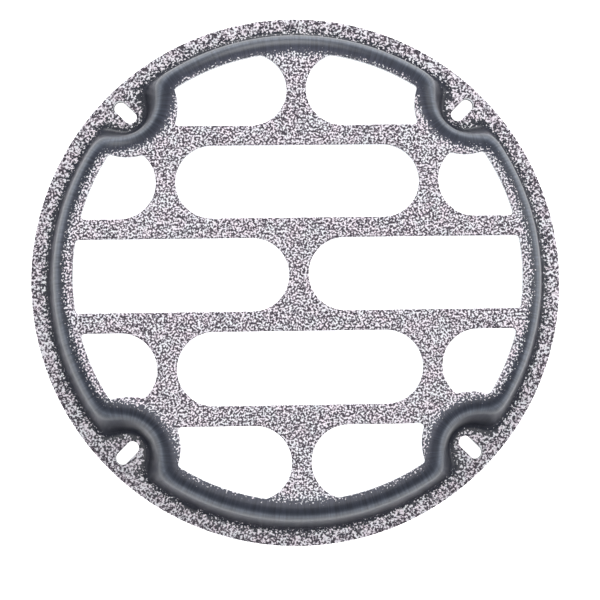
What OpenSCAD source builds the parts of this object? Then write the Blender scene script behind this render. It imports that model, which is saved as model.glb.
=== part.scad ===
// Round pressed floor drain grate with a raised top, on a flat rubber seat ring.
// Millimetres. The origin is the centre of the underside of the seat ring, +Z is up,
// and the bars of the top run along X.

/* [Pressing] */
// Outside diameter of the rim
rim_d = 178; // [174:1:190]
// Thickness of the sheet
sheet_t = 2; // [1.5:0.1:2.5]
// Height of the top above the rim
rise = 19; // [16:0.5:24]
// Diameter of the flat of the top
top_d = 147.2; // [146:0.2:148]
// Radius over the shoulder, outside
shoulder_r = 6; // [4:0.5:7]
// Radius in the foot of the wall, outside
foot_r = 2; // [1:0.25:3]
// How far the wall reaches out, from the flat of the top to the flat of the rim
wall_run = 11; // [10.75:0.25:12]

/* [Openings] */
// Height of each row of openings
opening_h = 23.7; // [20:0.1:24.5]
// Width of the bars between rows
bar_w = 6.5; // [5.5:0.1:8]
// Width of the necks between openings in one row
neck_w = 6.3; // [5:0.1:8]
// Length of the middle opening in the second and fourth rows
middle_opening_l = 79; // [70:0.5:86]
// Diameter of the circle that the openings stay inside
openings_d = 145.2; // [140:0.2:146]
// Radius of the clearance that the openings keep round each screw pocket
pocket_clear_r = 16.4; // [15:0.1:18]
// How far from the centre that clearance is struck
pocket_clear_pos = 77.7; // [76:0.1:79]

/* [Screw slots] */
// Diameter of the circle that the slots are centred on
slot_circle_d = 162.2; // [160:0.1:164]
// Width of each slot
slot_w = 4.4; // [4:0.1:5]
// Length of each slot, end to end, along the radius
slot_l = 9.2; // [6:0.1:9.6]
// Radius of the flat land round each slot
land_r = 6; // [5.5:0.1:6.5]
// How far the wall of a screw pocket reaches out, from the land to the flat of the top
pocket_run = 10.5; // [10.25:0.05:10.5]

/* [Seat ring] */
// Thickness of the seat ring
ring_t = 1.5; // [1:0.25:3]
// How far the ring stays inside the edge of the rim
ring_inset = 0.8; // [0.2:0.1:1.5]
// Width of the ring between its ears
ring_w = 3.2; // [2.5:0.1:3.6]
// Radius of the ear under each screw slot
ear_r = 7; // [6:0.1:7.5]

/* [Hidden] */
$fn = 128;

// How far a cutting tool runs past a face
cut = 1;
// Flat steps that a pocket's shoulder and foot are each turned in
pocket_steps = 3;
screw_angles = [45, 135, 225, 315];
rim_under_z = ring_t;
rim_top_z = ring_t + sheet_t;
top_z = rim_top_z + rise;
row_pitch = opening_h + bar_w;

// The wall in section. X runs outward from the edge of the flat top, Y is height and "run" is
// the wall's reach. The shoulder and the foot turn about fixed centres and a straight wall
// joins them, so the skin at any depth under the outside keeps the sheet equally thick.
shoulder_c = [0, top_z - shoulder_r];
function foot_c(run) = [run, rim_top_z + foot_r];
function wall_slope(run) =
    let (gap = foot_c(run) - shoulder_c)
    atan2(-gap[1], gap[0]) + asin((shoulder_r + foot_r) / norm(gap));

// Solid side of the rim's wall, with a round shoulder and foot.
module wall_section(flat_len, depth, bottom_z) {
    high_r = shoulder_r - depth;
    low_r = foot_r + depth;
    slope = wall_slope(wall_run);
    normal = [sin(slope), cos(slope)];
    difference() {
        union() {
            translate([-flat_len, bottom_z])
                square([flat_len, shoulder_c[1] + high_r - bottom_z]);
            translate(shoulder_c) circle(r = high_r);
            polygon([[0, bottom_z], shoulder_c, shoulder_c + high_r * normal,
                     foot_c(wall_run) - low_r * normal,
                     [wall_run, foot_c(wall_run)[1] - low_r], [wall_run, bottom_z]]);
        }
        translate(foot_c(wall_run)) circle(r = low_r);
    }
}

// Hat without its screw pockets, turned about the centre line.
module plain_hat(depth, bottom_z) {
    rotate_extrude()
        intersection() {
            translate([top_d / 2, 0]) wall_section(top_d / 2, depth, bottom_z);
            translate([0, bottom_z]) square([rim_d, top_z]);
        }
}

// Space over one land: a round pocket whose wall turns over its shoulder and foot in steps.
module pocket_space(depth) {
    pocket_r = land_r + pocket_run;
    slope = wall_slope(pocket_run);
    turns = [for (i = [0:pocket_steps]) slope * i / pocket_steps];
    shoulder = [for (a = turns)
        shoulder_c + (shoulder_r - depth) * [sin(a), cos(a)]];
    foot = [for (i = [pocket_steps:-1:0])
        foot_c(pocket_run) - (foot_r + depth) * [sin(turns[i]), cos(turns[i])]];
    rotate_extrude()
        translate([pocket_r, 0]) mirror([1, 0])
            polygon(concat([[0, top_z + cut]], shoulder, foot,
                           [[pocket_r, rim_top_z - depth], [pocket_r, top_z + cut]]));
}

module at_screws() {
    for (a = screw_angles)
        rotate([0, 0, a]) translate([slot_circle_d / 2, 0, 0]) children();
}

module hat(depth, bottom_z) {
    difference() {
        plain_hat(depth, bottom_z);
        at_screws() pocket_space(depth);
    }
}

// The rim outside the foot of the wall.
module rim() {
    translate([0, 0, rim_under_z])
        difference() {
            cylinder(d = rim_d, h = sheet_t);
            translate([0, 0, -cut]) cylinder(r = top_d / 2 + wall_run, h = sheet_t + 2 * cut);
        }
}

// Flat obround along X, centred on the origin.
module obround(length, width) {
    straight = length - width;
    square([straight, width], center = true);
    for (side = [-1, 1]) translate([side * straight / 2, 0]) circle(d = width);
}

// Openings at both ends of a row, with round inner ends "gap" apart and no outer ends.
module end_openings(gap) {
    reach = openings_d;
    for (side = [-1, 1])
        translate([side * (gap + reach) / 2, 0]) obround(reach, opening_h);
}

module opening_rows() {
    for (row = [-2, 0, 2])
        translate([0, row * row_pitch]) end_openings(neck_w);
    for (row = [-1, 1])
        translate([0, row * row_pitch]) {
            obround(middle_opening_l, opening_h);
            end_openings(middle_opening_l + 2 * neck_w);
        }
}

module openings() {
    translate([0, 0, top_z - sheet_t - cut])
        linear_extrude(sheet_t + 2 * cut)
            difference() {
                intersection() {
                    opening_rows();
                    circle(d = openings_d);
                }
                for (a = screw_angles)
                    rotate(a) translate([pocket_clear_pos, 0]) circle(r = pocket_clear_r);
            }
}

module screw_slots(bottom_z, height) {
    translate([0, 0, bottom_z])
        linear_extrude(height)
            for (a = screw_angles)
                rotate(a) translate([slot_circle_d / 2, 0]) obround(slot_l, slot_w);
}

// The sheet as pressed, before anything is punched out of it.
module pressed_sheet() {
    difference() {
        union() {
            rim();
            hat(0, rim_under_z);
        }
        hat(sheet_t, rim_under_z - cut);
    }
}

module grate_pressing() {
    color("dimgray")
        difference() {
            difference() {
                pressed_sheet();
                screw_slots(rim_under_z - cut, sheet_t + 4 * cut);
            }
            openings();
        }
}

module seat_ring() {
    ring_outer_r = rim_d / 2 - ring_inset;
    color("#2a2a2c")
        difference() {
            union() {
                difference() {
                    cylinder(r = ring_outer_r, h = ring_t);
                    translate([0, 0, -cut]) cylinder(r = ring_outer_r - ring_w, h = ring_t + 2 * cut);
                }
                at_screws() cylinder(r = ear_r, h = ring_t);
            }
            screw_slots(-cut, ring_t + 2 * cut);
        }
}

grate_pressing();
seat_ring();
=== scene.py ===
"""Looks of the round pressed floor drain grate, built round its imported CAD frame."""

import logging
import math
from dataclasses import dataclass, field
from enum import Enum
from typing import Any

import bpy
import numpy as np
from mathutils import Matrix, Vector
from mathutils.geometry import delaunay_2d_cdt
from mathutils.kdtree import KDTree


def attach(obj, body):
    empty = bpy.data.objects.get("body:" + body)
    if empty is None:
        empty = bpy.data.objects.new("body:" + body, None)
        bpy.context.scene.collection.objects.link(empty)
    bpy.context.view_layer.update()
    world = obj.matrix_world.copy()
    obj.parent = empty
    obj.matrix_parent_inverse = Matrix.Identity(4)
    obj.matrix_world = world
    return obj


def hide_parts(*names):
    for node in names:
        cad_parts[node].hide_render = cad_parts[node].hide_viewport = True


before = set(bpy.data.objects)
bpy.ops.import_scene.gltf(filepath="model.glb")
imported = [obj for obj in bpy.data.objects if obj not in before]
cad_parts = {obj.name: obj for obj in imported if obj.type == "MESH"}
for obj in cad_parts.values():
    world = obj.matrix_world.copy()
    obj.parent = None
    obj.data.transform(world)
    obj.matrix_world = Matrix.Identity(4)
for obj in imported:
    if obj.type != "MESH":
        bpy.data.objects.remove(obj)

LOG = logging.getLogger("drain_grate")
MM = 0.001


def linear(hex_colour: str) -> tuple[float, float, float, float]:
    """Turns an sRGB hex colour into a linear RGBA one.

    Args:
        hex_colour: Six hex digits.

    Returns:
        The colour in linear light, with alpha 1.
    """
    parts = [int(hex_colour[i:i + 2], 16) / 255 for i in (0, 2, 4)]
    lit = [c / 12.92 if c <= 0.04045 else ((c + 0.055) / 1.055) ** 2.4 for c in parts]
    return (*lit, 1.0)


def add_node(tree: bpy.types.NodeTree, kind: str, inputs: dict[int | str, Any] | None = None,
             **settings: Any) -> bpy.types.Node:
    """Adds a node to a shader or geometry tree with its settings, values and links.

    Args:
        tree: The tree that gets the node.
        kind: Blender's type name for the node.
        inputs: Input name or index against an output socket to link, or a plain value.
        **settings: Properties of the node itself, such as operation.

    Returns:
        The new node.
    """
    node = tree.nodes.new(kind)
    for name, value in settings.items():
        setattr(node, name, value)
    for key, value in (inputs or {}).items():
        if isinstance(value, bpy.types.NodeSocket):
            tree.links.new(value, node.inputs[key])
        else:
            node.inputs[key].default_value = value
    return node


def fill_ramp(node: bpy.types.Node, stops: list[tuple[float, str]]) -> None:
    """Sets a colour ramp's stops.

    Args:
        node: A Color Ramp node.
        stops: Position and hex colour of each stop, in rising order.
    """
    elements = node.color_ramp.elements
    while len(elements) < len(stops):
        elements.new(1.0)
    for element, (place, colour) in zip(elements, stops):
        element.position = place
        element.color = linear(colour)


def new_material(name: str) -> tuple[bpy.types.Material, bpy.types.NodeTree, bpy.types.Node]:
    """Opens a node material.

    Args:
        name: Name of the finish.

    Returns:
        The material, its node tree and its surface shader.
    """
    material = bpy.data.materials.new(name)
    material.use_nodes = True
    return material, material.node_tree, material.node_tree.nodes["Principled BSDF"]


def dress(tree: bpy.types.NodeTree, shader: bpy.types.Node, links: dict[str, bpy.types.NodeSocket]) -> None:
    """Links what a finish works out to the surface shader.

    Args:
        tree: The material's node tree.
        shader: Its surface shader.
        links: Shader input name against the output that feeds it.
    """
    for name, output in links.items():
        tree.links.new(output, shader.inputs[name])


@dataclass(frozen=True)
class PressingSizes:
    """Sizes of the pressing in millimetres, as the CAD part gives them."""

    rim_r: float = 89.0
    sheet_t: float = 2.0
    rim_top_z: float = 3.5
    rise: float = 19.0
    top_r: float = 73.6
    shoulder_r: float = 6.0
    foot_r: float = 2.0
    wall_run: float = 11.0
    row_pitch: float = 30.2
    opening_h: float = 23.7
    neck_w: float = 6.3
    middle_opening_l: float = 79.0
    openings_r: float = 72.6
    pocket_clear_r: float = 16.4
    pocket_clear_pos: float = 77.7
    slot_circle_r: float = 81.1
    slot_w: float = 4.4
    slot_l: float = 9.2
    land_r: float = 6.0
    pocket_run: float = 10.5
    corner_blend: float = 10.0

    @property
    def wall_slope(self) -> float:
        """Slope of the straight wall between shoulder and foot, in radians."""
        fall = self.rise - self.shoulder_r - self.foot_r
        gap = math.hypot(self.wall_run, fall)
        return math.atan2(fall, self.wall_run) + math.asin((self.shoulder_r + self.foot_r) / gap)

    @property
    def slot_centres(self) -> list[np.ndarray]:
        """Centres of the four screw slots in plan, on the diagonals."""
        return [self.slot_circle_r * np.array([math.cos(a), math.sin(a)])
                for a in np.radians([45, 135, 225, 315])]

    @property
    def pocket_r(self) -> float:
        """Radius of a screw pocket at the level of the flat top."""
        return self.land_r + self.pocket_run

    def section_steps(self, spacing: float) -> np.ndarray:
        """Outward distances that step evenly along the bent wall, not along its plan.

        Args:
            spacing: Distance between steps along the skin.

        Returns:
            Distances from the edge of the flat top, rising from 0 to the wall's run.
        """
        slope = self.wall_slope
        start, end = self.shoulder_r * math.sin(slope), self.wall_run - self.foot_r * math.sin(slope)
        over = np.linspace(0, slope, max(2, round(self.shoulder_r * slope / spacing)))
        down = np.linspace(start, end, max(2, round((end - start) / math.cos(slope) / spacing)))
        out = np.linspace(slope, 0, max(5, round(self.foot_r * slope / spacing)))
        return np.concatenate([self.shoulder_r * np.sin(over), down[1:],
                               self.wall_run - self.foot_r * np.sin(out[1:])])


@dataclass
class Outline:
    """A closed edge in plan, counter-clockwise round what it encloses.

    Attributes:
        points: Places on the edge, in millimetres.
        into: Unit vectors that point from the edge into the sheet.
    """

    points: np.ndarray
    into: np.ndarray

    def inset(self, distance: float) -> np.ndarray:
        """Returns the edge moved into the sheet."""
        return self.points + distance * self.into

    def holds(self, places: np.ndarray) -> np.ndarray:
        """Tells which places lie inside the edge.

        Args:
            places: Points in plan.

        Returns:
            One truth value a point.
        """
        inside = np.zeros(len(places), bool)
        low, high = self.points.min(0), self.points.max(0)
        near = np.where(((places > low) & (places < high)).all(1))[0]
        x, y = places[near, 0:1], places[near, 1:2]
        (ax, ay), (bx, by) = self.points.T, np.roll(self.points, -1, 0).T
        spans = (ay > y) != (by > y)
        rise = np.where(by == ay, 1.0, by - ay)
        inside[near] = (spans & (x < (bx - ax) * (y - ay) / rise + ax)).sum(1) % 2 == 1
        return inside


@dataclass
class OutlineMaker:
    """Draws outlines from straights and arcs.

    Attributes:
        spacing: Distance between points along an edge, in millimetres.
        fillet: Radius in the inner corners of an opening.
    """

    spacing: float = 1.0
    fillet: float = 1.2

    def arc(self, centre: np.ndarray, radius: float, start: float,
            sweep: float) -> tuple[np.ndarray, np.ndarray]:
        """Samples an arc.

        Args:
            centre: The arc's centre.
            radius: Its radius.
            start: Angle of its first point, in radians.
            sweep: Signed angle that it turns through.

        Returns:
            The points, and the unit vectors away from the centre.
        """
        count = max(2, int(abs(sweep) * radius / self.spacing) + 2)
        angles = start + sweep * np.linspace(0, 1, count)
        away = np.stack([np.cos(angles), np.sin(angles)], 1)
        return centre + radius * away, away

    def circle(self, radius: float, outside: bool) -> Outline:
        """Draws a circle about the origin.

        Args:
            radius: The circle's radius.
            outside: True if the sheet lies inside it, so that it is the outer edge.

        Returns:
            The outline.
        """
        points, away = self.arc(np.zeros(2), radius, 0, 2 * math.pi)
        return Outline(points[:-1], -away[:-1] if outside else away[:-1])

    def obround(self, centre: tuple[float, float], length: float, width: float,
                turn: float = 0.0) -> Outline:
        """Draws a slot with round ends.

        Args:
            centre: Its centre.
            length: Its length, end to end.
            width: Its width.
            turn: Angle of its length from X, in radians.

        Returns:
            The outline.
        """
        half, radius = (length - width) / 2, width / 2
        rows: list[tuple[np.ndarray, np.ndarray]] = []
        for side, start in ((1, -math.pi / 2), (-1, math.pi / 2)):
            rows.append(self.arc(np.array([side * half, 0.0]), radius, start, math.pi))
            steps = np.linspace(side * half, -side * half, max(3, int(2 * half / self.spacing)))[1:-1]
            straight = np.stack([steps, np.full(len(steps), side * radius)], 1)
            rows.append((straight, np.tile([0.0, float(side)], (len(steps), 1))))
        points, into = (np.concatenate(part) for part in zip(*rows))
        c, s = math.cos(turn), math.sin(turn)
        spin = np.array([[c, s], [-s, c]])
        return Outline(points @ spin + centre, into @ spin)

    def trim(self, shape: Outline, centre: tuple[float, float], radius: float, keep_inside: bool) -> Outline:
        """Cuts an opening's outline with a circle, which becomes part of the edge.

        Args:
            shape: The opening's outline.
            centre: The circle's centre.
            radius: The circle's radius.
            keep_inside: True to keep what lies inside the circle.

        Returns:
            The trimmed outline, or the same one if the circle misses it.
        """
        hub = np.array(centre, float)
        side = 1.0 if keep_inside else -1.0
        beyond = side * (np.linalg.norm(shape.points - hub, axis=1) - radius)
        if (beyond <= 0).all():
            return shape
        first = int(np.where((beyond <= 0) & (np.roll(beyond, 1) > 0))[0][0])
        points, into, beyond = (np.roll(a, -first, 0) for a in (shape.points, shape.into, beyond))
        kept = int(np.where(beyond > 0)[0][0])
        ends = []
        for here, there in ((0, -1), (kept - 1, kept)):
            share = 0.0 if beyond[here] == beyond[there] else beyond[here] / (beyond[here] - beyond[there])
            place = points[here] + share * (points[there] - points[here])
            face = into[here] + share * (into[there] - into[here])
            ends.append((place, face / np.linalg.norm(face)))
        (back, back_into), (leave, leave_into) = ends
        start = math.atan2(*(leave - hub)[::-1])
        sweep = side * ((side * (math.atan2(*(back - hub)[::-1]) - start)) % (2 * math.pi))
        arc, away = self.arc(hub, radius, start, sweep)
        return Outline(np.concatenate([[back], points[:kept], [leave], arc]),
                       np.concatenate([[back_into], into[:kept], [leave_into], side * away]))

    def rounded(self, core: Outline) -> Outline:
        """Grows a shrunken opening back by the fillet, which rounds its corners.

        Args:
            core: The opening drawn smaller all round by the fillet radius.

        Returns:
            The full-size outline with filleted corners.
        """
        centres, faces = [], []
        count = len(core.points)
        for i in range(count):
            centres.append(core.points[i])
            faces.append(core.into[i])
            after = (i + 1) % count
            turn = math.atan2(core.into[i][0] * core.into[after][1] - core.into[i][1] * core.into[after][0],
                              float(core.into[i] @ core.into[after]))
            if np.linalg.norm(core.points[after] - core.points[i]) < 0.02 and abs(turn) > 0.2:
                begin = math.atan2(core.into[i][1], core.into[i][0])
                for step in np.linspace(0, 1, max(3, int(abs(turn) / 0.25)))[1:-1]:
                    centres.append(core.points[i])
                    faces.append(np.array([math.cos(begin + turn * step), math.sin(begin + turn * step)]))
        points = np.array(centres) + self.fillet * np.array(faces)
        keep = np.linalg.norm(points - np.roll(points, 1, 0), axis=1) > 0.05
        return Outline(points[keep], np.array(faces)[keep])


@dataclass
class PunchedBlank:
    """A flat sheet with punched edges, before it is pressed.

    Attributes:
        outer: Its outer edge.
        holes: The edges of its openings and slots.
        thickness: Thickness of the sheet, in millimetres.
        roll: Radius that the punch rolls the upper edge over.
        burr: Width of the broken lower edge.
    """

    outer: Outline
    holes: list[Outline]
    thickness: float
    roll: float = 0.4
    burr: float = 0.12

    @property
    def profile(self) -> list[tuple[float, float]]:
        """Inset and depth of each row of points down a punched edge."""
        turns = np.radians([90, 60, 30, 0])
        rows = [(self.roll * (1 - math.cos(a)), self.roll * (math.sin(a) - 1)) for a in turns]
        return [*rows, (0.0, self.burr - self.thickness), (self.burr, -self.thickness)]

    def cut_faces(self, rings: list[np.ndarray], bands: int, rolled: int = 3) -> np.ndarray:
        """Marks the wall faces that the punch sheared, under the rolled upper edge.

        Args:
            rings: The point numbers of each edge.
            bands: Number of face bands down an edge.
            rolled: Number of bands that are rolled over and keep their coat.

        Returns:
            One truth value a wall face, in the order that they are made in.
        """
        return np.concatenate([np.repeat(np.arange(bands) >= rolled, len(ring)) for ring in rings])

    def mesh(self, name: str, fill: np.ndarray) -> bpy.types.Mesh:
        """Builds the closed blank. Depth under the upper skin is the mesh's Z.

        Args:
            name: Name of the mesh.
            fill: Points in plan that the two skins pass through, besides their edges.

        Returns:
            The mesh in metres, with a face attribute "punched" on the cut edges.
        """
        loops = [self.outer, *self.holes]
        tree = KDTree(sum(len(loop.points) for loop in loops))
        for place in np.concatenate([loop.inset(self.roll) for loop in loops]):
            tree.insert((*place, 0.0), 0)
        tree.balance()
        clear = np.array([tree.find((*place, 0.0))[2] > 0.5 for place in fill])
        clear &= self.outer.holds(fill)
        for hole in self.holes:
            clear &= ~hole.holds(fill)
        fill = fill[clear]
        rings, total = [], 0
        for loop in loops:
            rings.append(np.arange(total, total + len(loop.points)))
            total += len(loop.points)
        skin = np.concatenate([*(loop.inset(self.roll) for loop in loops), fill])
        edges = [(int(a), int(b)) for ring in rings for a, b in zip(ring, np.roll(ring, -1))]
        result = delaunay_2d_cdt([Vector(p) for p in skin], edges, [], 0, 1e-7)
        origin = [src[0] for src in result[3]]
        flats = np.array([[origin[i] for i in face] for face in result[2]])
        corner = skin[flats]
        area = np.cross(corner[:, 1] - corner[:, 0], corner[:, 2] - corner[:, 0])
        flats[area < 0] = flats[area < 0][:, ::-1]
        middle = corner.mean(1)
        keep = (abs(area) > 1e-9) & Outline(self.outer.inset(self.roll), self.outer.into).holds(middle)
        for hole in self.holes:
            keep &= ~Outline(hole.inset(self.roll), hole.into).holds(middle)
        flats = flats[keep]
        rows = self.profile
        base = len(rows) * total
        points = [np.column_stack([np.concatenate([loop.inset(i) for loop in loops]), np.full(total, z)])
                  for i, z in rows]
        points += [np.column_stack([fill, np.full(len(fill), z)]) for z in (0.0, -self.thickness)]
        upper = np.where(flats < total, flats, flats + base - total)
        lower = np.where(flats < total, flats + base - total, flats + base + len(fill) - total)
        walls = []
        for number, ring in enumerate(rings):
            on, after = (ring, np.roll(ring, -1)) if number == 0 else (np.roll(ring, -1), ring)
            for row in range(len(rows) - 1):
                high, low = row * total, (row + 1) * total
                walls.append(np.stack([on + high, on + low, after + low, after + high], 1))
        faces = [*upper.tolist(), *lower[:, ::-1].tolist(), *np.concatenate(walls).tolist()]
        mesh = bpy.data.meshes.new(name)
        mesh.from_pydata((np.concatenate(points) * MM).tolist(), [], faces)
        punched = mesh.attributes.new("punched", "BOOLEAN", "FACE")
        cut_rows = np.zeros(len(faces), bool)
        cut_rows[2 * len(flats):] = self.cut_faces(rings, len(rows) - 1)
        punched.data.foreach_set("value", cut_rows)
        mesh.validate()
        mesh.update()
        return mesh


@dataclass
class PressTree:
    """Geometry Nodes that press a flat blank into the hat, wall and screw pockets.

    The blank's X and Y stay as they are. The upper skin rises to the height of the rule, and
    a point deeper in the sheet follows the skin's own normal, so that the sheet stays 2 mm.
    """

    sizes: PressingSizes

    @property
    def inputs(self) -> dict[str, float]:
        """The tree's named sizes, in metres, and the wall's slope in radians."""
        s = self.sizes
        return {
            "Rim height": s.rim_top_z * MM,
            "Rise": s.rise * MM,
            "Top radius": s.top_r * MM,
            "Wall run": s.wall_run * MM,
            "Wall slope": s.wall_slope,
            "Shoulder radius": s.shoulder_r * MM,
            "Foot radius": s.foot_r * MM,
            "Slot offset": s.slot_circle_r * math.sqrt(0.5) * MM,
            "Pocket radius": s.pocket_r * MM,
            "Pocket run": s.pocket_run * MM,
            "Corner blend": s.corner_blend * MM,
        }

    def height_rule(self) -> bpy.types.NodeTree:
        """Builds the group that gives the skin's height over one point of the plan.

        Returns:
            A group with inputs X, Y and the sizes, and outputs Height, Reach and Lead. Reach
            is how far the point lies outside the flat top, and Lead how much further the
            screw pocket's wall has run there than the rim's.
        """
        tree = bpy.data.node_groups.new("Hat height", "GeometryNodeTree")
        for name in ("X", "Y", *self.inputs):
            tree.interface.new_socket(name, in_out="INPUT", socket_type="NodeSocketFloat")
        for name in ("Height", "Reach", "Lead"):
            tree.interface.new_socket(name, in_out="OUTPUT", socket_type="NodeSocketFloat")
        source = add_node(tree, "NodeGroupInput")
        wires: dict[str, Any] = {name: source.outputs[name] for name in ("X", "Y", *self.inputs)}
        steps = [
            ("x squared", "MULTIPLY", "X", "X"),
            ("radius squared", "MULTIPLY_ADD", "Y", "Y", "x squared"),
            ("radius", "SQRT", "radius squared"),
            ("rim reach", "SUBTRACT", "radius", "Top radius"),
            ("side x", "ABSOLUTE", "X"),
            ("side y", "ABSOLUTE", "Y"),
            ("slot x", "SUBTRACT", "side x", "Slot offset"),
            ("slot y", "SUBTRACT", "side y", "Slot offset"),
            ("slot x squared", "MULTIPLY", "slot x", "slot x"),
            ("slot squared", "MULTIPLY_ADD", "slot y", "slot y", "slot x squared"),
            ("slot distance", "SQRT", "slot squared"),
            ("inside pocket", "SUBTRACT", "Pocket radius", "slot distance"),
            ("stretch", "DIVIDE", "Wall run", "Pocket run"),
            ("pocket reach", "MULTIPLY", "inside pocket", "stretch"),
            ("reach", "SMOOTH_MAX", "rim reach", "pocket reach", "Corner blend"),
            ("lead", "SUBTRACT", "pocket reach", "rim reach"),
            ("sine", "SINE", "Wall slope"),
            ("cosine", "COSINE", "Wall slope"),
            ("tangent", "TANGENT", "Wall slope"),
            ("wall start", "MULTIPLY", "Shoulder radius", "sine"),
            ("foot part", "MULTIPLY", "Foot radius", "sine"),
            ("wall end", "SUBTRACT", "Wall run", "foot part"),
            ("above nought", "MAXIMUM", "reach", 0.0),
            ("over shoulder", "MINIMUM", "above nought", "wall start"),
            ("past shoulder", "MAXIMUM", "reach", "wall start"),
            ("down wall", "MINIMUM", "past shoulder", "wall end"),
            ("past wall", "MAXIMUM", "reach", "wall end"),
            ("in foot", "MINIMUM", "past wall", "Wall run"),
            ("shoulder squared", "MULTIPLY", "Shoulder radius", "Shoulder radius"),
            ("over squared", "MULTIPLY", "over shoulder", "over shoulder"),
            ("arc squared", "SUBTRACT", "shoulder squared", "over squared"),
            ("arc height", "SQRT", "arc squared"),
            ("wall length", "SUBTRACT", "down wall", "wall start"),
            ("wall drop", "MULTIPLY", "wall length", "tangent"),
            ("foot left", "SUBTRACT", "Wall run", "in foot"),
            ("foot left squared", "MULTIPLY", "foot left", "foot left"),
            ("foot squared", "MULTIPLY", "Foot radius", "Foot radius"),
            ("foot arc squared", "SUBTRACT", "foot squared", "foot left squared"),
            ("foot arc", "SQRT", "foot arc squared"),
            ("foot start", "MULTIPLY", "Foot radius", "cosine"),
            ("foot drop", "SUBTRACT", "foot arc", "foot start"),
            ("top", "ADD", "Rim height", "Rise"),
            ("shoulder centre", "SUBTRACT", "top", "Shoulder radius"),
            ("on shoulder", "ADD", "shoulder centre", "arc height"),
            ("on wall", "SUBTRACT", "on shoulder", "wall drop"),
            ("height", "SUBTRACT", "on wall", "foot drop"),
        ]
        for name, operation, *terms in steps:
            values = {i: wires.get(term, term) for i, term in enumerate(terms)}
            wires[name] = add_node(tree, "ShaderNodeMath", values, operation=operation).outputs[0]
        add_node(tree, "NodeGroupOutput",
                 {"Height": wires["height"], "Reach": wires["reach"], "Lead": wires["lead"]})
        return tree

    def build(self, nudge: float = 0.02 * MM) -> bpy.types.NodeTree:
        """Builds the whole tree.

        Args:
            nudge: Step in plan over which the skin's slope is measured, in metres.

        Returns:
            The tree, with inputs Geometry, the sizes, Coat and Cut metal.
        """
        rule = self.height_rule()
        tree = bpy.data.node_groups.new("Press the blank", "GeometryNodeTree")
        tree.interface.new_socket("Geometry", in_out="INPUT", socket_type="NodeSocketGeometry")
        for name in self.inputs:
            tree.interface.new_socket(name, in_out="INPUT", socket_type="NodeSocketFloat")
        for name in ("Coat", "Cut metal"):
            tree.interface.new_socket(name, in_out="INPUT", socket_type="NodeSocketMaterial")
        tree.interface.new_socket("Geometry", in_out="OUTPUT", socket_type="NodeSocketGeometry")
        source = add_node(tree, "NodeGroupInput")
        sizes = {name: source.outputs[name] for name in self.inputs}
        position = add_node(tree, "GeometryNodeInputPosition").outputs[0]
        x, y, depth = add_node(tree, "ShaderNodeSeparateXYZ", {0: position}).outputs
        beside_x = add_node(tree, "ShaderNodeMath", {0: x, 1: nudge}, operation="ADD").outputs[0]
        beside_y = add_node(tree, "ShaderNodeMath", {0: y, 1: nudge}, operation="ADD").outputs[0]
        here, east, north = (add_node(tree, "GeometryNodeGroup", {}, node_tree=rule) for _ in range(3))
        for group, at in ((here, (x, y)), (east, (beside_x, y)), (north, (x, beside_y))):
            for name, value in (("X", at[0]), ("Y", at[1]), *sizes.items()):
                tree.links.new(value, group.inputs[name])
        falls = []
        for group in (east, north):
            drop = add_node(tree, "ShaderNodeMath", {0: here.outputs["Height"], 1: group.outputs["Height"]},
                            operation="SUBTRACT").outputs[0]
            fall = add_node(tree, "ShaderNodeMath", {0: drop, 1: nudge}, operation="DIVIDE").outputs[0]
            falls.append(fall)
        steep = add_node(tree, "ShaderNodeCombineXYZ", {0: falls[0], 1: falls[1], 2: 1.0}).outputs[0]
        normal = add_node(tree, "ShaderNodeVectorMath", {0: steep}, operation="NORMALIZE").outputs[0]
        skin = add_node(tree, "ShaderNodeCombineXYZ", {0: x, 1: y, 2: here.outputs["Height"]}).outputs[0]
        pressed = add_node(tree, "ShaderNodeVectorMath", {0: normal, 1: depth, 2: skin},
                           operation="MULTIPLY_ADD").outputs[0]
        plan = add_node(tree, "ShaderNodeCombineXYZ", {0: x, 1: y}).outputs[0]
        outward = add_node(tree, "ShaderNodeVectorMath", {0: plan}, operation="NORMALIZE").outputs[0]
        rim_sweep = add_node(tree, "ShaderNodeVectorMath", {0: outward, 3: self.sizes.top_r * MM},
                             operation="SCALE").outputs[0]
        quarter = add_node(tree, "ShaderNodeVectorMath", {0: plan}, operation="SIGN").outputs[0]
        corner = add_node(tree, "ShaderNodeVectorMath", {0: quarter, 1: sizes["Slot offset"]},
                          operation="MULTIPLY").outputs[0]
        from_slot = add_node(tree, "ShaderNodeVectorMath", {0: plan, 1: corner},
                             operation="SUBTRACT").outputs[0]
        round_slot = add_node(tree, "ShaderNodeVectorMath", {0: from_slot}, operation="NORMALIZE").outputs[0]
        pocket_sweep = add_node(tree, "ShaderNodeVectorMath",
                                {0: round_slot, 1: (self.sizes.pocket_r * MM,) * 3, 2: corner},
                                operation="MULTIPLY_ADD").outputs[0]
        reach = add_node(tree, "ShaderNodeMath", {0: here.outputs["Reach"], 1: 1 / MM},
                         operation="MULTIPLY").outputs[0]
        half = self.sizes.corner_blend / 2 * MM
        share = add_node(tree, "ShaderNodeMapRange", {"Value": here.outputs["Lead"], 1: -half, 2: half},
                         interpolation_type="SMOOTHSTEP").outputs[0]
        flow = source.outputs["Geometry"]
        for name, kind, value in (("reach_mm", "FLOAT", reach), ("pocket_share", "FLOAT", share),
                                  ("rim_sweep", "FLOAT_VECTOR", rim_sweep),
                                  ("pocket_sweep", "FLOAT_VECTOR", pocket_sweep)):
            flow = add_node(tree, "GeometryNodeStoreNamedAttribute",
                            {"Geometry": flow, "Name": name, "Value": value},
                            data_type=kind, domain="POINT").outputs[0]
        flow = add_node(tree, "GeometryNodeSetPosition", {"Geometry": flow, "Position": pressed}).outputs[0]
        flow = add_node(tree, "GeometryNodeRealizeInstances", {"Geometry": flow}).outputs[0]
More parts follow.
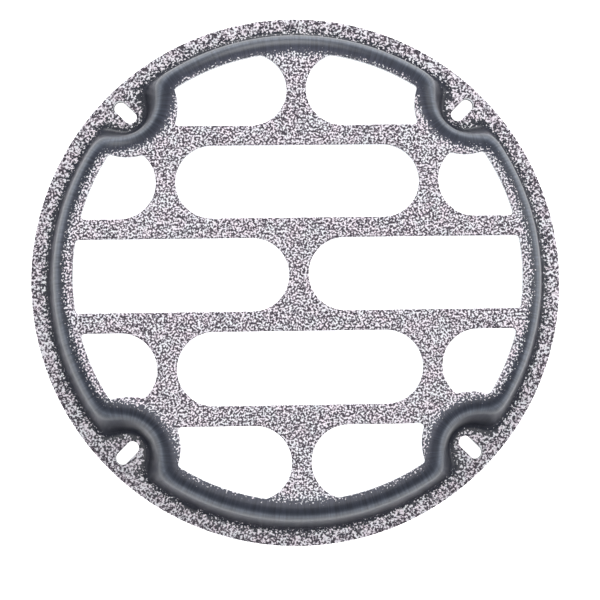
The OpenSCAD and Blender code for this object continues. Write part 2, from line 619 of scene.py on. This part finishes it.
        cut = add_node(tree, "GeometryNodeInputNamedAttribute", {"Name": "punched"},
                       data_type="BOOLEAN").outputs[0]
        for name, chosen in (("Coat", {}), ("Cut metal", {"Selection": cut})):
            flow = add_node(tree, "GeometryNodeSetMaterial",
                            {"Geometry": flow, "Material": source.outputs[name], **chosen}).outputs[0]
        add_node(tree, "NodeGroupOutput", {"Geometry": flow})
        return tree


@dataclass(frozen=True)
class FleckedCoat:
    """Silver-fleck stoving enamel, sprayed on the sheet; over the wall, where the sheet turns from the
    light, its flecks and their painted glints give way to dark blue-grey.

    The flats show coarse black and silver-white flecks, the silver-white partly painted glints; the wall
    shows dark blue-grey with a painted highlight line over the shoulder and fine draw marks that run down
    it.

    Attributes:
        fleck_mm: Size of a fleck.
        spread: Width of one standard step of the fleck noise, which spaces the stops of flecks.
        flecks: Tones of the flecks, the silver-white ones partly painted glints, each at its number of
            standard steps from the middle one.
        patch_mm: Size of the faint warm and cool patches on the flats.
        streak_mm: Spacing of the draw marks round the wall.
        streak_run: How fast the draw marks change down the wall, against round it.
        streak_gain: Darkest and palest the draw marks make the wall.
        wall: Tones of the wall, dark blue-grey with a painted highlight line over the shoulder and darker
            towards the foot, each at its distance outside the flat top, in millimetres.
        fray: Depth of the ragged edge of the flecks, in millimetres for the noise's full range.
        onto: Distances, with the fray, over which the flecks and their painted glints give way to the wall,
            where the sheet turns from the light.
        off: Distances, with the fray, over which they come back at the wall's foot.
        side_light_slip: How much later the flecks and their painted glints give way at the two sides of the
            grate, where the side lights still catch the slope.
        pocket_spill: How much wider the wall's glint-free band is on both its edges round a screw pocket.
    """

    fleck_mm: float = 0.64
    spread: float = 0.0325
    # The silver-white flecks are partly painted glints of the coat.
    flecks: tuple[tuple[float, str], ...] = (
        (-2.33, "433d45"), (-1.64, "504a52"), (-1.28, "59535c"), (-0.67, "6e6872"), (0.0, "968f95"),
        (0.67, "c6bfc6"), (1.28, "e8e3e8"), (1.64, "f4f1f4"), (2.33, "fdfcfd"))
    patch_mm: float = 4.0
    streak_mm: float = 0.6
    streak_run: float = 0.06
    streak_gain: tuple[float, float] = (0.7, 1.3)
    # Painted highlight: the paler stop at 4.1 mm is a line of light over the shoulder; the tones grow darker
    # towards the foot.
    wall: tuple[tuple[float, str], ...] = (
        (0.0, "454754"), (1.6, "393c47"), (2.8, "383c47"), (3.4, "464b56"), (4.1, "626874"),
        (4.8, "4f5560"), (5.8, "3d424d"), (7.4, "30333d"), (11.0, "2f313b"))
    fray: float = 11.0
    onto: tuple[float, float] = (-8.0, -7.2)
    off: tuple[float, float] = (16.6, 17.3)
    side_light_slip: float = 3.2
    pocket_spill: float = 0.9

    def flats(self, tree: bpy.types.NodeTree, place: bpy.types.NodeSocket,
              grain: bpy.types.NodeSocket) -> bpy.types.NodeSocket:
        """Paints the flecks of the flats, whose silver-white tones are partly painted glints.

        Args:
            tree: The material's node tree.
            place: Object coordinates.
            grain: The fleck noise.

        Returns:
            Their colour.
        """
        fleck = add_node(tree, "ShaderNodeValToRGB", {0: grain})
        fill_ramp(fleck, [(0.5 + self.spread * step, colour) for step, colour in self.flecks])
        patch = add_node(tree, "ShaderNodeTexNoise",
                         {"Vector": place, "Scale": 1 / (self.patch_mm * MM), "Detail": 2.0}).outputs["Fac"]
        tint = add_node(tree, "ShaderNodeValToRGB", {0: patch})
        fill_ramp(tint, [(0.35, "f6f8fb"), (0.65, "fcf4fa")])
        return add_node(tree, "ShaderNodeMix", {0: 1.0, 6: fleck.outputs[0], 7: tint.outputs[0]},
                        data_type="RGBA", blend_type="MULTIPLY").outputs[2]

    def marks(self, tree: bpy.types.NodeTree, reach: bpy.types.NodeSocket,
              share: bpy.types.NodeSocket) -> bpy.types.NodeSocket:
        """Lays out the draw marks, which run down the rim's wall and down each pocket's.

        Args:
            tree: The material's node tree.
            reach: Distance outside the flat top, in millimetres.
            share: 1 on a pocket's wall, 0 on the rim's.

        Returns:
            Their strength.
        """
        drop = add_node(tree, "ShaderNodeMath", {0: reach, 1: self.streak_run * MM}, operation="MULTIPLY")
        down = add_node(tree, "ShaderNodeCombineXYZ", {2: drop.outputs[0]}).outputs[0]
        marks = []
        for name in ("rim_sweep", "pocket_sweep"):
            sweep = add_node(tree, "ShaderNodeAttribute", attribute_name=name).outputs["Vector"]
            along = add_node(tree, "ShaderNodeVectorMath", {0: sweep, 1: down}, operation="ADD").outputs[0]
            marks.append(add_node(tree, "ShaderNodeTexNoise",
                                  {"Vector": along, "Scale": 1 / (self.streak_mm * MM), "Detail": 3.0,
                                   "Roughness": 0.65}).outputs["Fac"])
        return add_node(tree, "ShaderNodeMix", {0: share, 2: marks[0], 3: marks[1]}).outputs[0]

    def drawn(self, tree: bpy.types.NodeTree, reach: bpy.types.NodeSocket,
              mark: bpy.types.NodeSocket) -> bpy.types.NodeSocket:
        """Paints the wall with a painted highlight line over the shoulder, darker towards the foot, and its
        draw marks.

        Args:
            tree: The material's node tree.
            reach: Distance outside the flat top, in millimetres.
            mark: Strength of the draw marks.

        Returns:
            Its colour.
        """
        run = self.wall[-1][0]
        band = add_node(tree, "ShaderNodeMapRange", {"Value": reach, 1: 0.0, 2: run}).outputs[0]
        tone = add_node(tree, "ShaderNodeValToRGB", {0: band})
        # The ramp holds a painted highlight line over the shoulder.
        fill_ramp(tone, [(place / run, colour) for place, colour in self.wall])
        low, high = self.streak_gain
        gain = add_node(tree, "ShaderNodeMapRange",
                        {"Value": mark, 1: 0.34, 2: 0.66, 3: low, 4: high}).outputs[0]
        return add_node(tree, "ShaderNodeVectorMath", {0: tone.outputs[0], 3: gain},
                        operation="SCALE").outputs[0]

    def glintless_share(self, tree: bpy.types.NodeTree, reach: bpy.types.NodeSocket,
                     share: bpy.types.NodeSocket, grain: bpy.types.NodeSocket) -> bpy.types.NodeSocket:
        """Tells the wall, where the flecks' painted glints give way as the sheet turns from the light, from
        the flecked flats, with a ragged edge between them.

        Args:
            tree: The material's node tree.
            reach: Distance outside the flat top, in millimetres.
            share: 1 on a pocket's wall, 0 on the rim's.
            grain: The fleck noise, which makes the edge ragged.

        Returns:
            1 on the wall and 0 on the flats.
        """
        sweep = add_node(tree, "ShaderNodeAttribute", attribute_name="rim_sweep").outputs["Vector"]
        across = add_node(tree, "ShaderNodeSeparateXYZ", {0: sweep}).outputs[0]
        sideways = add_node(tree, "ShaderNodeMath", {0: across, 1: across}, operation="MULTIPLY").outputs[0]
        # The flecks' painted glints reach further down the slope at the two sides, where the side lights
        # still catch it.
        slip = -self.side_light_slip / (PressingSizes().top_r * MM) ** 2
        places = []
        for factors in (((sideways, slip), (share, self.pocket_spill), (grain, -self.fray)),
                        ((share, -self.pocket_spill), (grain, self.fray))):
            place = reach
            for value, factor in factors:
                place = add_node(tree, "ShaderNodeMath", {0: value, 1: factor, 2: place},
                                 operation="MULTIPLY_ADD").outputs[0]
            places.append(place)
        onto, off = (add_node(tree, "ShaderNodeMapRange", {"Value": place, 1: low, 2: high}).outputs[0]
                     for place, (low, high) in zip(places, (self.onto, self.off)))
        return add_node(tree, "ShaderNodeMath", {0: onto, 1: off}, operation="SUBTRACT",
                        use_clamp=True).outputs[0]

    def build(self) -> bpy.types.Material:
        """Builds the material.

        Returns:
            A material that reads Object coordinates and the pressing's attributes.
        """
        material, tree, shader = new_material("silver_fleck_enamel")
        place = add_node(tree, "ShaderNodeTexCoord").outputs["Object"]
        reach = add_node(tree, "ShaderNodeAttribute", attribute_name="reach_mm").outputs["Fac"]
        share = add_node(tree, "ShaderNodeAttribute", attribute_name="pocket_share").outputs["Fac"]
        grain = add_node(tree, "ShaderNodeTexNoise", {"Vector": place, "Scale": 1 / (self.fleck_mm * MM),
                         "Detail": 1.5, "Roughness": 0.6}).outputs["Fac"]
        mark = self.marks(tree, reach, share)
        # Mask where the flecks and their painted glints give way to dark blue-grey, as the sheet turns from
        # the light.
        smooth = self.glintless_share(tree, reach, share, grain)
        colour = add_node(tree, "ShaderNodeMix", {0: smooth, 6: self.flats(tree, place, grain),
                          7: self.drawn(tree, reach, mark)}, data_type="RGBA").outputs[2]
        gloss = add_node(tree, "ShaderNodeMapRange", {"Value": smooth, 3: 0.5, 4: 0.34}).outputs[0]
        shine = add_node(tree, "ShaderNodeMapRange", {"Value": smooth, 3: 0.3, 4: 0.36}).outputs[0]
        relief = add_node(tree, "ShaderNodeMix", {0: smooth, 2: grain, 3: mark}).outputs[0]
        bump = add_node(tree, "ShaderNodeBump",
                        {"Height": relief, "Distance": 0.03 * MM, "Strength": 0.6}).outputs[0]
        dress(tree, shader, {"Base Color": colour, "Roughness": gloss, "Specular IOR Level": shine,
                             "Normal": bump})
        shader.inputs["IOR"].default_value = 1.5
        return material


@dataclass(frozen=True)
class CutSteel:
    """Bare steel where the punch sheared the sheet, seen as a thin bright line round each opening."""

    colour: str = "c9ccd0"
    shear_mm: float = 0.35
    shear_run: float = 0.08

    def build(self) -> bpy.types.Material:
        """Builds the material.

        Returns:
            A bright metal with fine shear marks that run through the sheet.
        """
        material, tree, shader = new_material("sheared_steel")
        place = add_node(tree, "ShaderNodeTexCoord").outputs["Object"]
        squeezed = add_node(tree, "ShaderNodeMapping",
                            {"Vector": place, "Scale": (1.0, 1.0, self.shear_run)}).outputs[0]
        shear = add_node(tree, "ShaderNodeTexNoise", {"Vector": squeezed, "Scale": 1 / (self.shear_mm * MM),
                         "Detail": 2.0}).outputs["Fac"]
        worn = add_node(tree, "ShaderNodeValToRGB", {0: shear})
        fill_ramp(worn, [(0.3, "8f9297"), (0.6, self.colour)])
        rough = add_node(tree, "ShaderNodeMapRange", {"Value": shear, 3: 0.3, 4: 0.5}).outputs[0]
        bump = add_node(tree, "ShaderNodeBump",
                        {"Height": shear, "Distance": 0.02 * MM, "Strength": 0.5}).outputs[0]
        dress(tree, shader, {"Base Color": worn.outputs[0], "Roughness": rough, "Normal": bump})
        shader.inputs["Metallic"].default_value = 1.0
        return material


@dataclass(frozen=True)
class SeatRubber:
    """Moulded EPDM rubber, matt near-black with a fine mould grain and a little bloom."""

    colour: str = "2b2b2d"
    bloom: str = "3d3d40"
    bloom_mm: float = 6.0
    grit_mm: float = 0.3

    def build(self) -> bpy.types.Material:
        """Builds the material.

        Returns:
            A matt rubber with mould grain.
        """
        material, tree, shader = new_material("moulded_epdm")
        place = add_node(tree, "ShaderNodeTexCoord").outputs["Object"]
        cloud, grit = (add_node(tree, "ShaderNodeTexNoise", {"Vector": place, "Scale": 1 / (size * MM),
                                "Detail": detail}).outputs["Fac"]
                       for size, detail in ((self.bloom_mm, 4.0), (self.grit_mm, 2.0)))
        tone = add_node(tree, "ShaderNodeValToRGB", {0: cloud})
        fill_ramp(tone, [(0.35, self.colour), (0.7, self.bloom)])
        rough = add_node(tree, "ShaderNodeMapRange", {"Value": grit, 3: 0.68, 4: 0.88}).outputs[0]
        bump = add_node(tree, "ShaderNodeBump",
                        {"Height": grit, "Distance": 0.03 * MM, "Strength": 0.5}).outputs[0]
        dress(tree, shader, {"Base Color": tone.outputs[0], "Roughness": rough, "Normal": bump})
        shader.inputs["IOR"].default_value = 1.52
        return material


def finish_mesh(piece: bpy.types.Object, sharp_degrees: float = 38.0) -> None:
    """Shades a piece smooth, apart from its sharp edges.

    Args:
        piece: The piece.
        sharp_degrees: Angle over which an edge stays sharp.
    """
    piece.data.shade_smooth()
    piece.data.set_sharp_from_angle(angle=math.radians(sharp_degrees))


@dataclass
class GratePressing:
    """The one-piece pressed and punched grate.

    Attributes:
        sizes: Its sizes.
        maker: Draws the edges of its openings.
        coat: The finish of its skins.
        cut: The finish of its punched edges.
        skin_step: Spacing of the points down the bent wall, in millimetres.
        corner_step: Spacing of the points where the wall turns into a pocket.
        flat_step: Spacing of the points on the flats.
    """

    sizes: PressingSizes = field(default_factory=PressingSizes)
    maker: OutlineMaker = field(default_factory=OutlineMaker)
    coat: FleckedCoat = field(default_factory=FleckedCoat)
    cut: CutSteel = field(default_factory=CutSteel)
    skin_step: float = 0.8
    corner_step: float = 0.42
    flat_step: float = 2.4

    def openings(self) -> list[Outline]:
        """Draws the twelve openings, row by row.

        Returns:
            Their filleted outlines.
        """
        s, shrink = self.sizes, self.maker.fillet
        reach = 2 * s.openings_r
        outlines = []
        for row in (-2, -1, 0, 1, 2):
            gap = s.neck_w if row % 2 == 0 else s.middle_opening_l + 2 * s.neck_w
            spans = [(side * (gap + reach) / 2, reach) for side in (-1, 1)]
            if row % 2:
                spans.append((0.0, s.middle_opening_l))
            for middle, length in spans:
                shape = self.maker.obround((middle, row * s.row_pitch), length - 2 * shrink,
                                           s.opening_h - 2 * shrink)
                shape = self.maker.trim(shape, (0, 0), s.openings_r - shrink, True)
                for centre in s.slot_centres:
                    hub = centre * s.pocket_clear_pos / s.slot_circle_r
                    shape = self.maker.trim(shape, tuple(hub), s.pocket_clear_r + shrink, False)
                outlines.append(self.maker.rounded(shape))
        return outlines

    def slots(self) -> list[Outline]:
        """Draws the four radial screw slots."""
        fine = OutlineMaker(spacing=0.4)
        return [fine.obround(tuple(c), self.sizes.slot_l, self.sizes.slot_w, math.atan2(c[1], c[0]))
                for c in self.sizes.slot_centres]

    def hexagons(self, spacing: float) -> np.ndarray:
        """Returns a staggered grid of points over the whole plan."""
        rows = np.arange(-self.sizes.rim_r, self.sizes.rim_r, spacing * math.sqrt(0.75))
        line = np.arange(-self.sizes.rim_r, self.sizes.rim_r, spacing)
        return np.concatenate([np.stack([line + spacing / 2 * (i % 2), np.full(len(line), y)], 1)
                               for i, y in enumerate(rows)])

    def reaches(self, places: np.ndarray) -> tuple[np.ndarray, np.ndarray]:
        """Works out the reach and the pocket's lead, as the press tree does.

        Args:
            places: Points in plan.

        Returns:
            The reach outside the flat top, and the lead of the pocket's wall.
        """
        s = self.sizes
        rim = np.linalg.norm(places, axis=1) - s.top_r
        slot = np.linalg.norm(abs(places) - s.slot_circle_r * math.sqrt(0.5), axis=1)
        pocket = (s.pocket_r - slot) * s.wall_run / s.pocket_run
        near = np.maximum(s.corner_blend - abs(rim - pocket), 0) / s.corner_blend
        return np.maximum(rim, pocket) + near ** 3 * s.corner_blend / 6, pocket - rim

    def fill(self) -> np.ndarray:
        """Lays out the points inside the skins: close together over the bent wall, wide on the flats."""
        s = self.sizes
        steps = s.section_steps(self.skin_step)
        parts = []
        for hub, radii, spacing, side in (
                (np.zeros(2), s.top_r + steps, 1.4, 1),
                *((c, s.pocket_r - steps * s.pocket_run / s.wall_run, 0.8, -1) for c in s.slot_centres)):
            for i, radius in enumerate(radii):
                count = int(2 * math.pi * radius / spacing)
                angles = (np.arange(count) + 0.5 * (i % 2)) * 2 * math.pi / count
                ring = hub + radius * np.stack([np.cos(angles), np.sin(angles)], 1)
                parts.append(ring[side * -self.reaches(ring)[1] > s.corner_blend])
        corners = self.hexagons(self.corner_step)
        reach, lead = self.reaches(corners)
        parts.append(corners[(abs(lead) <= s.corner_blend) & (reach > -0.4) & (reach < s.wall_run + 0.4)])
        flats = self.hexagons(self.flat_step)
        reach, _ = self.reaches(flats)
        parts.append(flats[(reach < -1.0) | (reach > s.wall_run + 1.0)])
        return np.concatenate(parts)

    def build(self) -> bpy.types.Object:
        """Punches the blank, presses it and dresses it.

        Returns:
            The finished piece, in place of its CAD node.
        """
        blank = PunchedBlank(self.maker.circle(self.sizes.rim_r, True), [*self.openings(), *self.slots()],
                             self.sizes.sheet_t)
        rough = bpy.data.objects.new("punched_blank", blank.mesh("punched_blank", self.fill()))
        bpy.context.scene.collection.objects.link(rough)
        press = PressTree(self.sizes)
        tree = press.build()
        modifier = rough.modifiers.new("press", "NODES")
        modifier.node_group = tree
        values = {**press.inputs, "Coat": self.coat.build(), "Cut metal": self.cut.build()}
        for item in tree.interface.items_tree:
            if item.in_out == "INPUT" and item.name in values:
                modifier[item.identifier] = values[item.name]
        bpy.context.view_layer.update()
        settled = rough.evaluated_get(bpy.context.evaluated_depsgraph_get())
        mesh = bpy.data.meshes.new_from_object(settled)
        bpy.data.objects.remove(rough)
        piece = bpy.data.objects.new("pressed_grate", mesh)
        bpy.context.scene.collection.objects.link(piece)
        finish_mesh(piece)
        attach(piece, "root")
        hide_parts("grate_pressing")
        return piece


@dataclass
class SeatRing:
    """The rubber ring that the rim sits on, with an ear under each screw slot."""

    outer_r: float = 88.2
    inner_r: float = 85.0
    ear_r: float = 7.0
    thickness: float = 1.5
    pressing: PressingSizes = field(default_factory=PressingSizes)
    rubber: SeatRubber = field(default_factory=SeatRubber)

    def build(self) -> bpy.types.Object:
        """Moulds the ring with rounded edges.

        Returns:
            The finished piece, in place of its CAD node.
        """
        maker = OutlineMaker(spacing=0.9, fillet=1.0)
        middle = maker.circle(self.inner_r - maker.fillet, False)
        slots = []
        for centre in self.pressing.slot_centres:
            middle = maker.trim(middle, tuple(centre), self.ear_r + maker.fillet, False)
            slots.append(OutlineMaker(spacing=0.4).obround(tuple(centre), self.pressing.slot_l,
                                                           self.pressing.slot_w,
                                                           math.atan2(centre[1], centre[0])))
        blank = PunchedBlank(maker.circle(self.outer_r, True), [maker.rounded(middle), *slots],
                             self.thickness, roll=0.35, burr=0.3)
        angles = np.radians(np.arange(0, 360, 1.2))
        line = (self.outer_r + self.inner_r) / 2 * np.stack([np.cos(angles), np.sin(angles)], 1)
        mesh = blank.mesh("seat_rubber_ring", line)
        mesh.transform(Matrix.Translation((0, 0, self.thickness * MM)))
        mesh.materials.append(self.rubber.build())
        piece = bpy.data.objects.new("seat_rubber_ring", mesh)
        bpy.context.scene.collection.objects.link(piece)
        finish_mesh(piece, 50.0)
        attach(piece, "root")
        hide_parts("seat_ring")
        return piece


class Softbox(Enum):
    """The studio's lights: place in metres, size in metres, power in watts."""

    NORTH = ((-0.05, 1.0, 0.48), 0.5, 6.2)
    OVERHEAD = ((0.0, -0.15, 1.15), 1.0, 8.0)
    WEST = ((-0.9, 0.1, 0.5), 0.6, 1.4)
    EAST = ((0.9, 0.2, 0.45), 0.6, 3.3)


@dataclass
class Studio:
    """Floor, lights and camera.

    Attributes:
        eye: The camera's place, in millimetres.
        aim: The point that it looks at.
        roll: How far it is turned about its own axis, in degrees.
        lens_mm: Focal length.
        sensor_mm: Width of the camera's sensor.
        floor_half: Half the floor's width, in metres.
        floor_z: Height of the floor, a hair under the seat ring, in metres.
    """

    eye: tuple[float, float, float] = (-14.48, -37.26, 437.07)
    aim: tuple[float, float, float] = (0.85, -7.12, 3.5)
    roll: float = -0.89
    lens_mm: float = 77.628
    sensor_mm: float = 36.0
    floor_half: float = 12.0
    floor_z: float = -0.0004

    def camera(self) -> bpy.types.Object:
        """Sets up the camera.

        Returns:
            The scene's camera.
        """
        data = bpy.data.cameras.new("camera")
        data.sensor_width = self.sensor_mm
        data.lens = self.lens_mm
        data.clip_start, data.clip_end = 0.01, 20.0
        ahead = (Vector(self.aim) - Vector(self.eye)).normalized()
        right = ahead.cross(Vector((0, 1, 0))).normalized()
        up = right.cross(ahead)
        turn = math.radians(self.roll)
        across = right * math.cos(turn) + up * math.sin(turn)
        above = up * math.cos(turn) - right * math.sin(turn)
        camera = bpy.data.objects.new("camera", data)
        axes = Matrix((across, above, -ahead)).transposed()
        camera.matrix_world = Matrix.Translation(Vector(self.eye) * MM) @ axes.to_4x4()
        bpy.context.scene.collection.objects.link(camera)
        bpy.context.scene.camera = camera
        return camera

    def floor(self) -> bpy.types.Object:
        """Lays the pale floor, which glows so that it stays even under the grate.

        Returns:
            The floor.
        """
        mesh = bpy.data.meshes.new("floor")
        half, low = self.floor_half, self.floor_z
        corners = [(-half, -half, low), (half, -half, low), (half, half, low), (-half, half, low)]
        mesh.from_pydata(corners, [], [(0, 1, 2, 3)])
        material, _, shader = new_material("pale_floor")
        for name, value in (("Base Color", linear("f4f4f4")), ("Roughness", 0.9),
                            ("Emission Color", linear("ffffff")), ("Emission Strength", 1.0)):
            shader.inputs[name].default_value = value
        mesh.materials.append(material)
        floor = bpy.data.objects.new("floor", mesh)
        bpy.context.scene.collection.objects.link(floor)
        return floor

    def lights(self) -> None:
        """Hangs the softboxes and sets the room's own light."""
        for box in Softbox:
            place, size, power = box.value
            data = bpy.data.lights.new(f"softbox_{box.name.lower()}", "AREA")
            data.size, data.energy = size, power
            light = bpy.data.objects.new(data.name, data)
            light.location = place
            light.rotation_euler = (-Vector(place)).to_track_quat("-Z", "Y").to_euler()
            bpy.context.scene.collection.objects.link(light)
        world = bpy.data.worlds.new("studio")
        bpy.context.scene.world = world
        world.use_nodes = True
        world.node_tree.nodes["Background"].inputs["Color"].default_value = linear("dfe3ea")
        world.node_tree.nodes["Background"].inputs["Strength"].default_value = 0.2
        bpy.context.scene.view_settings.view_transform = "Standard"


def main() -> None:
    """Builds the studio and the grate."""
    logging.basicConfig(level=logging.INFO, format="%(name)s: %(message)s")
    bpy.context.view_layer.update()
    studio = Studio()
    studio.camera()
    studio.floor()
    studio.lights()
    for builder in (GratePressing(), SeatRing()):
        piece = builder.build()
        piece.data.calc_loop_triangles()
        LOG.info("%s: %d triangles", piece.name, len(piece.data.loop_triangles))


if __name__ == "__main__":
    main()
